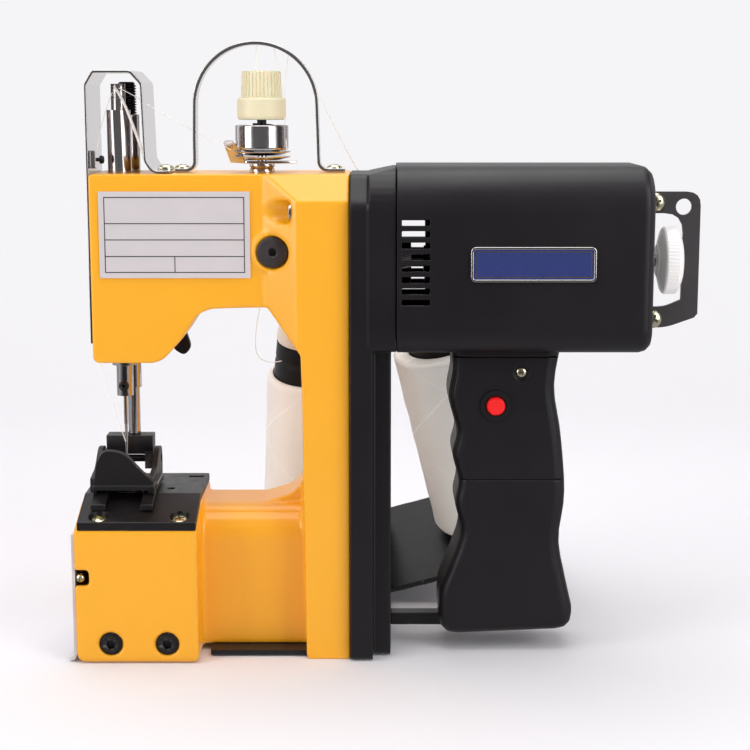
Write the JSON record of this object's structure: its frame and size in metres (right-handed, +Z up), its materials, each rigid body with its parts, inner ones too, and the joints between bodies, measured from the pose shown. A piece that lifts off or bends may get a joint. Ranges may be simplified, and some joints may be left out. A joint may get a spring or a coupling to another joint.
{
  "type": "bag closer sewing machine",
  "caption": "Portable bag closing sewing machine: C-shaped casting over a bed, side motor with pistol grip, thread tension set, and thread cones on a rear bracket.",
  "frame": {"origin": "on the resting plane under the needle axis, on the flat underside of the bed", "axes": "+X from the needle towards the motor, +Y from the operator's side towards the thread cones, +Z up along the needle bar"},
  "size_m": [0.2981, 0.1803, 0.2894],
  "materials": {
    "yellow_paint": "semi-gloss cast finish",
    "black_plastic": "fine matte grain",
    "black_steel": "black oxide",
    "bright_steel": "ground and polished",
    "dark_steel": "machined",
    "bronze": "machined",
    "copper": "varnished windings",
    "ivory_plastic": "satin",
    "white_plastic": "translucent satin",
    "red_plastic": "gloss",
    "blue_enamel": "gloss with bright rim",
    "plated_sheet": "satin",
    "rubber": "matte",
    "thread": "cross-wound yarn",
    "zinc": "zinc plated"
  },
  "bodies": {
    "frame": {"main_casting": "yellow_paint", "arm_back_cover": "yellow_paint", "bed_bottom_plate": "black_plastic", "rating_plate": "plated_sheet", "belt_case": "black_plastic", "motor_housing": "black_plastic", "badge_plate": "blue_enamel", "handle_grip": "black_plastic", "switch_cover": "black_plastic", "button_ring": "black_plastic", "power_switch": "black_plastic", "motor_stator": "copper", "motor_bearing_front": "bright_steel", "motor_bearing_rear": "bright_steel", "carbon_brush_front": "bronze", "carbon_brush_rear": "bronze", "timing_belt": "rubber", "shaft_bush_left": "bronze", "shaft_bearing_right": "bright_steel", "rocker_pivot_pin": "black_steel", "needle_bar_bush_lower": "bright_steel", "needle_bar_bush_upper": "bright_steel", "needle_plate": "black_steel", "presser_adjuster": "black_steel", "needle_bar_guard": "bright_steel", "thread_hoop": "bright_steel", "tension_post": "bronze", "tension_guide_plate": "bright_steel", "tension_disc_lower": "bright_steel", "tension_disc_upper": "bright_steel", "tension_cup": "bright_steel", "tension_spring": "black_steel", "hanger_bracket": "black_steel", "hanger_screw_top": "zinc", "hanger_screw_bottom": "zinc", "spool_bracket": "black_steel"},
    "main_shaft": {"main_shaft": "dark_steel", "belt_wheel": "dark_steel"},
    "motor_rotor": {"motor_armature": "dark_steel", "motor_pulley": "dark_steel", "cooling_fan": "black_plastic", "hand_wheel": "white_plastic"},
    "rocker": {"rocker_arm": "dark_steel"},
    "connecting_rod": {"connecting_rod": "dark_steel", "rod_pin": "bright_steel"},
    "needle_bar": {"needle_bar": "bright_steel", "needle": "bright_steel"},
    "looper": {"looper": "bright_steel"},
    "feed_dog": {"feed_dog": "dark_steel"},
    "presser_bar": {"presser_bar": "black_steel"},
    "presser_foot": {"presser_foot": "black_steel"},
    "presser_lifter": {"presser_lifter": "black_steel"},
    "tension_nut": {"tension_nut": "bronze"},
    "tension_knob": {"tension_knob": "ivory_plastic"},
    "trigger": {"trigger_button": "red_plastic"},
    "side_cover": {"bed_side_cover": "plated_sheet"},
    "spool_left": {"spool_core_left": "black_plastic", "thread_cone_left": "thread"},
    "spool_right": {"spool_core_right": "black_plastic", "thread_cone_right": "thread"}
  },
  "joints": [
    {"name": "main_shaft_spin", "type": "hinge", "parent": "frame", "child": "main_shaft", "pos_m": [0.05, 0, 0.033], "axis": [1, 0, 0], "continuous": true},
    {"name": "motor_spin", "type": "hinge", "parent": "frame", "child": "motor_rotor", "pos_m": [0.18, 0, 0.1875], "axis": [1, 0, 0], "continuous": true},
    {"name": "rocker_swing", "type": "hinge", "parent": "frame", "child": "rocker", "pos_m": [0.0725, 0, 0.193], "axis": [0, 1, 0], "range_deg": [-22, 1.5]},
    {"name": "rod_swing", "type": "hinge", "parent": "rocker", "child": "connecting_rod", "pos_m": [0.096, 0, 0.1887], "axis": [0, 1, 0], "range_deg": [-1.6, 22.1]},
    {"name": "needle_bar_stroke", "type": "slide", "parent": "frame", "child": "needle_bar", "axis": [0, 0, 1], "range_m": [-0.02795, 0.002]},
    {"name": "looper_swing", "type": "hinge", "parent": "frame", "child": "looper", "pos_m": [0.01, 0.008, 0.042], "axis": [1, 0, 0], "range_deg": [-22.1, 1.6]},
    {"name": "feed_travel", "type": "slide", "parent": "frame", "child": "feed_dog", "axis": [0, 1, 0], "range_m": [-0.0031, 0.00025]},
    {"name": "presser_lift", "type": "slide", "parent": "frame", "child": "presser_bar", "axis": [0, 0, 1], "range_m": [0, 0.008]},
    {"name": "presser_foot_tilt", "type": "hinge", "parent": "presser_bar", "child": "presser_foot", "pos_m": [0.002, 0.012, 0.089], "axis": [-1, 0, 0], "range_deg": [0, 8]},
    {"name": "lifter_turn", "type": "hinge", "parent": "frame", "child": "presser_lifter", "pos_m": [0.019, 0.027, 0.156], "axis": [0, 1, 0], "range_deg": [-60.2, 0]},
    {"name": "tension_travel", "type": "slide", "parent": "frame", "child": "tension_nut", "axis": [0, 0, -1], "range_m": [0, 0.0015]},
    {"name": "tension_turn", "type": "hinge", "parent": "tension_nut", "child": "tension_knob", "pos_m": [0.067, 0, 0.265], "axis": [0, 0, -1], "range_deg": [0, 720]},
    {"name": "trigger_press", "type": "slide", "parent": "frame", "child": "trigger", "axis": [0, 1, 0], "range_m": [0, 0.003], "stiffness_N_per_m": 400},
    {"name": "side_cover_swing", "type": "hinge", "parent": "frame", "child": "side_cover", "pos_m": [-0.0237, 0, 0.0025], "axis": [0, -1, 0], "range_deg": [0, 75]},
    {"name": "spool_left_spin", "type": "hinge", "parent": "frame", "child": "spool_left", "pos_m": [0.086, 0.104, 0.031], "axis": [0, -0.2756, 0.9613], "continuous": true},
    {"name": "spool_right_spin", "type": "hinge", "parent": "frame", "child": "spool_right", "pos_m": [0.1804, 0.1036, 0.036], "axis": [-0.2374, -0.2773, 0.931], "continuous": true}
  ],
  "couplings": [
    {"joint": "motor_spin", "follows": "main_shaft_spin", "ratio": 5.25},
    {"joint": "rod_swing", "follows": "rocker_swing", "ratio": -1},
    {"joint": "needle_bar_stroke", "follows": "rocker_swing", "m_per_rad": 0.0725},
    {"joint": "looper_swing", "follows": "rocker_swing", "ratio": 1},
    {"joint": "feed_travel", "follows": "rocker_swing", "m_per_rad": 0.008},
    {"joint": "lifter_turn", "follows": "presser_lift", "rad_per_m": -131},
    {"joint": "tension_travel", "follows": "tension_turn", "m_per_rad": 0.000115}
  ]
}
